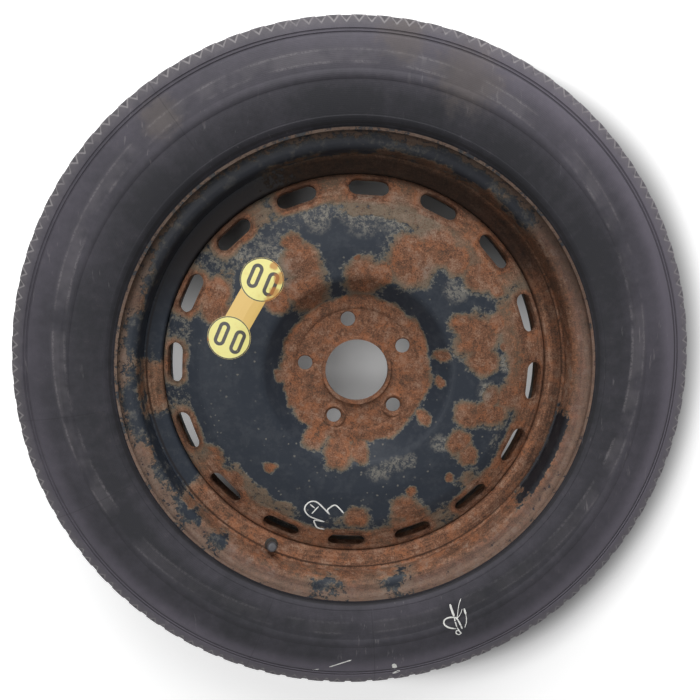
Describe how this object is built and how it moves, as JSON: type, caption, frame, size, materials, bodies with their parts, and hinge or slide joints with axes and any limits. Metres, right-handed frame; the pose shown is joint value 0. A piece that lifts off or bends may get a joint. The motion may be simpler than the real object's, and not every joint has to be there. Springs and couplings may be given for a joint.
{
  "type": "space saver spare wheel",
  "caption": "Narrow temporary spare wheel: tyre on a rusted pressed-steel wheel with vents, bolt holes and a capped snap-in valve.",
  "frame": {"origin": "centre of the wheel, on its axis and in the mid-plane between the rim's flanges", "axes": "+Z along the wheel's axis towards its outer face, so the wheel lies flat with that face up; +Y towards the top of the picture"},
  "size_m": [0.6748, 0.6748, 0.1348],
  "materials": {
    "tyre": "worn, matt, dusty",
    "rim_steel": "thin black paint, mostly rusted through",
    "disc_steel": "thin black paint with patches of rust",
    "weld_steel": "as welded, rusted",
    "valve_rubber": "moulded, dusty",
    "brass": "turned",
    "gasket_rubber": "moulded",
    "seal_rubber": "moulded",
    "spring_steel": "drawn wire",
    "cap_plastic": "moulded, worn",
    "decal_film": "printed film, aged"
  },
  "bodies": {
    "wheel": {"tyre": "tyre", "rim": "rim_steel", "wheel_disc": "disc_steel", "weld_seams": "weld_steel", "valve_body": "valve_rubber", "valve_stem": "brass", "valve_core": "brass", "core_gasket": "gasket_rubber", "core_spring": "spring_steel", "decal": "decal_film"},
    "cap_washer": {"cap_seal": "seal_rubber"},
    "cap": {"valve_cap": "cap_plastic"},
    "pin": {"core_pin": "brass", "core_seal": "seal_rubber"}
  },
  "joints": [
    {"name": "cap_lift", "type": "slide", "parent": "wheel", "child": "cap_washer", "axis": [0.1221, 0.2471, 0.9613], "range_m": [0, 0.00397]},
    {"name": "cap_turn", "type": "hinge", "parent": "cap_washer", "child": "cap", "pos_m": [-0.08943, -0.18095, 0.04342], "axis": [0.1221, 0.2471, 0.9613], "range_deg": [0, 1800]},
    {"name": "pin_push", "type": "slide", "parent": "wheel", "child": "pin", "axis": [0.1221, 0.2471, 0.9613], "range_m": [-0.0012, 0], "stiffness_N_per_m": 1000, "springref_m": 0.003, "deforming": ["core_spring"]}
  ],
  "couplings": [
    {"joint": "cap_turn", "follows": "cap_lift", "rad_per_m": 7915.8}
  ]
}
